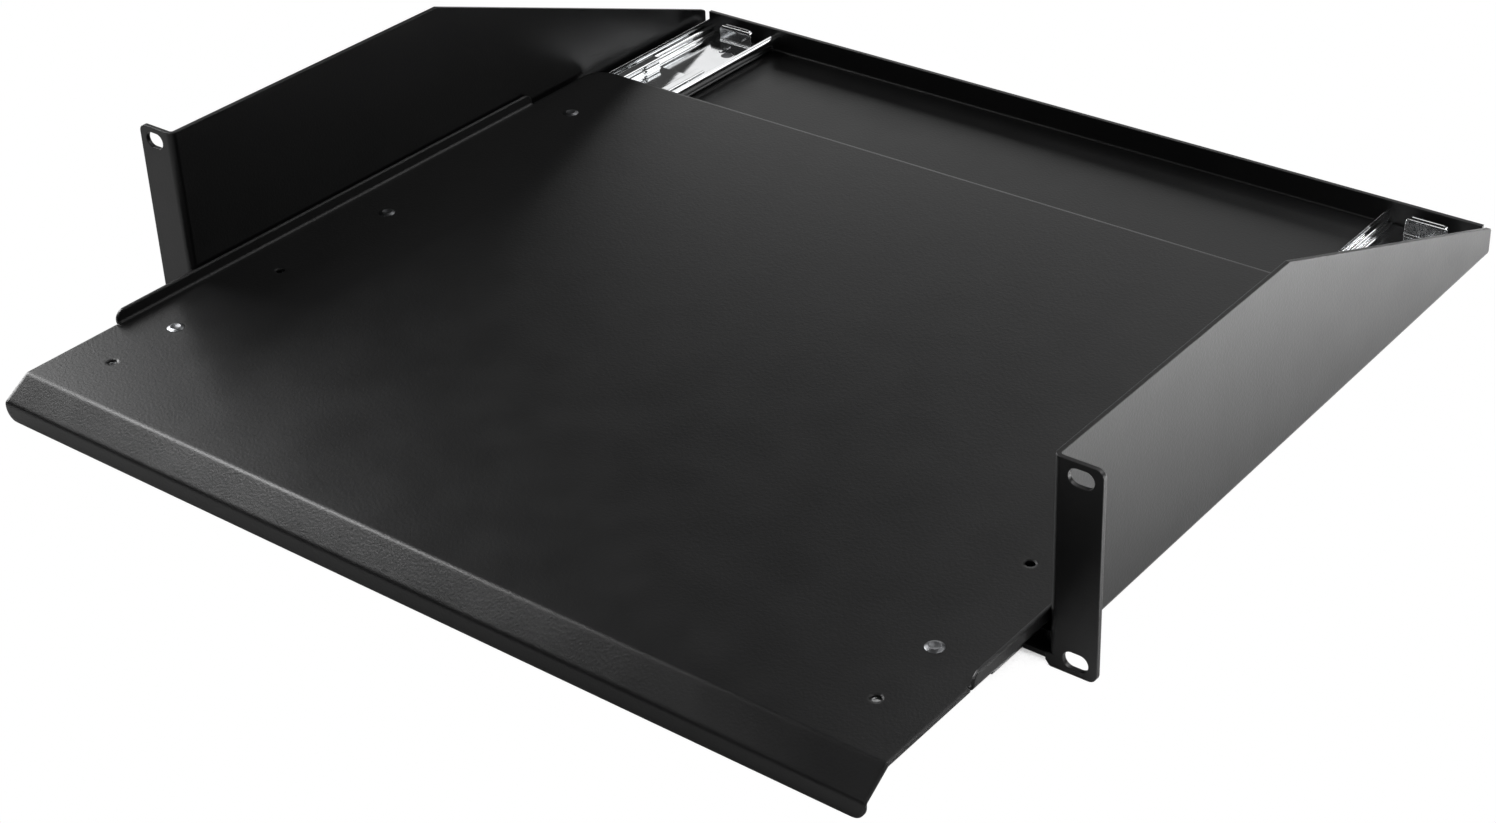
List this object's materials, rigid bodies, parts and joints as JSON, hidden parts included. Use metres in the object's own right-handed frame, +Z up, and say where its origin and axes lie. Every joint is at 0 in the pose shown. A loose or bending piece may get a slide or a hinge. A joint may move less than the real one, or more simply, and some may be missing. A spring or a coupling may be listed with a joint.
{
  "type": "sliding rack shelf",
  "caption": "Two-unit rack shelf: folded steel chassis with slotted ears, and a tray that runs out on flat ball-bearing slides.",
  "frame": {"origin": "middle of the ears' slot pattern, in the plane of the ears' rear faces that rest on the rack's posts", "axes": "+X to the right seen from the front, +Y to the rear, into the rack, +Z up"},
  "size_m": [0.4826, 0.4699, 0.0882],
  "materials": {
    "powder_coated_steel": "satin black powder coat with a fine grain",
    "bright_zinc_steel": "bright zinc plate, lightly drawn along the rail",
    "cage_strip_steel": "thin zinc-plated strip, satin",
    "polished_ball_steel": "polished bearing steel with a film of grease",
    "dark_rivet_steel": "dark bright-plated steel"
  },
  "bodies": {
    "chassis": {"chassis": "powder_coated_steel", "left_outer_rail": "bright_zinc_steel", "right_outer_rail": "bright_zinc_steel", "left_rail_rivets": "dark_rivet_steel", "right_rail_rivets": "dark_rivet_steel"},
    "tray": {"tray": "powder_coated_steel", "left_inner_rail": "bright_zinc_steel", "right_inner_rail": "bright_zinc_steel", "left_tray_rivets": "dark_rivet_steel", "right_tray_rivets": "dark_rivet_steel"},
    "left_middle": {"left_middle_rail": "bright_zinc_steel"},
    "left_outer_cage_set": {"left_outer_cage": "cage_strip_steel", "left_outer_balls": "polished_ball_steel"},
    "left_inner_cage_set": {"left_inner_cage": "cage_strip_steel", "left_inner_balls": "polished_ball_steel"},
    "right_middle": {"right_middle_rail": "bright_zinc_steel"},
    "right_outer_cage_set": {"right_outer_cage": "cage_strip_steel", "right_outer_balls": "polished_ball_steel"},
    "right_inner_cage_set": {"right_inner_cage": "cage_strip_steel", "right_inner_balls": "polished_ball_steel"}
  },
  "joints": [
    {"name": "tray_slide", "type": "slide", "parent": "chassis", "child": "tray", "axis": [0, -1, 0], "range_m": [-0.087, 0.243]},
    {"name": "left_middle_slide", "type": "slide", "parent": "chassis", "child": "left_middle", "axis": [0, -1, 0], "range_m": [-0.0435, 0.1215]},
    {"name": "left_outer_cage_slide", "type": "slide", "parent": "chassis", "child": "left_outer_cage_set", "axis": [0, -1, 0], "range_m": [-0.02175, 0.06075]},
    {"name": "left_inner_cage_slide", "type": "slide", "parent": "chassis", "child": "left_inner_cage_set", "axis": [0, -1, 0], "range_m": [-0.06525, 0.18225]},
    {"name": "right_middle_slide", "type": "slide", "parent": "chassis", "child": "right_middle", "axis": [0, -1, 0], "range_m": [-0.0435, 0.1215]},
    {"name": "right_outer_cage_slide", "type": "slide", "parent": "chassis", "child": "right_outer_cage_set", "axis": [0, -1, 0], "range_m": [-0.02175, 0.06075]},
    {"name": "right_inner_cage_slide", "type": "slide", "parent": "chassis", "child": "right_inner_cage_set", "axis": [0, -1, 0], "range_m": [-0.06525, 0.18225]}
  ],
  "couplings": [
    {"joint": "left_middle_slide", "follows": "tray_slide", "ratio": 0.5},
    {"joint": "left_outer_cage_slide", "follows": "tray_slide", "ratio": 0.25},
    {"joint": "left_inner_cage_slide", "follows": "tray_slide", "ratio": 0.75},
    {"joint": "right_middle_slide", "follows": "tray_slide", "ratio": 0.5},
    {"joint": "right_outer_cage_slide", "follows": "tray_slide", "ratio": 0.25},
    {"joint": "right_inner_cage_slide", "follows": "tray_slide", "ratio": 0.75}
  ]
}
